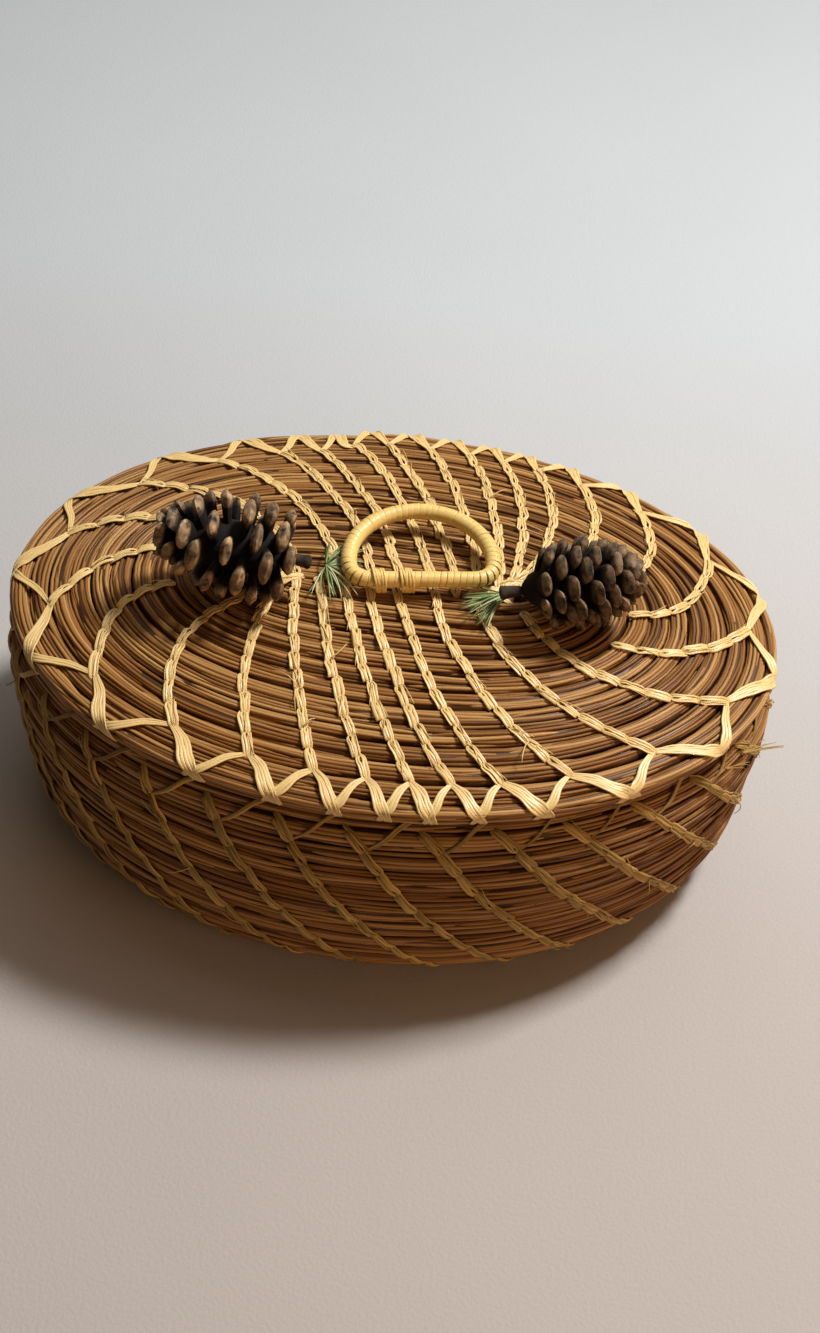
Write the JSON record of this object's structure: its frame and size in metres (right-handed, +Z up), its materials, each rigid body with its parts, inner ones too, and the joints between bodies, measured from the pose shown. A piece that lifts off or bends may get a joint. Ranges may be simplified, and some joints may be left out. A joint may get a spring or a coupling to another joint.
{
  "type": "lidded oval coiled basket",
  "caption": "Oval coiled pine needle basket with raffia stitching and a domed lift-off lid that carries a wrapped D handle between two small pine cones.",
  "frame": {"origin": "centre of the footprint, on the surface the basket stands on", "axes": "+Z up, +X along the long side of the oval, the handle lies back towards +Y"},
  "size_m": [0.2376, 0.1776, 0.1148],
  "materials": {
    "needles": "satin",
    "raffia": "satin",
    "handle_raffia": "satin",
    "cone": "rough",
    "green_needles": "satin"
  },
  "bodies": {
    "basket": {"basket_coil": "needles", "basket_stitching": "raffia"},
    "lid": {"lid_coil": "needles", "lid_stitching": "raffia", "lid_ledge_coil": "needles", "handle_tie_left": "handle_raffia", "handle_tie_middle": "handle_raffia", "cone_left": "cone", "cone_right": "cone", "sprig_left": "green_needles", "sprig_right": "green_needles"},
    "handle": {"handle_core": "needles", "handle_wrap": "handle_raffia"}
  },
  "joints": [
    {"name": "lid_lift", "type": "slide", "parent": "basket", "child": "lid", "axis": [0, 0, 1], "range_m": [0, 0.12]},
    {"name": "handle_swing", "type": "hinge", "parent": "lid", "child": "handle", "pos_m": [0.008, -0.002, 0.08973], "axis": [0.9877, 0.1564, 0], "range_deg": [0, 125]}
  ]
}
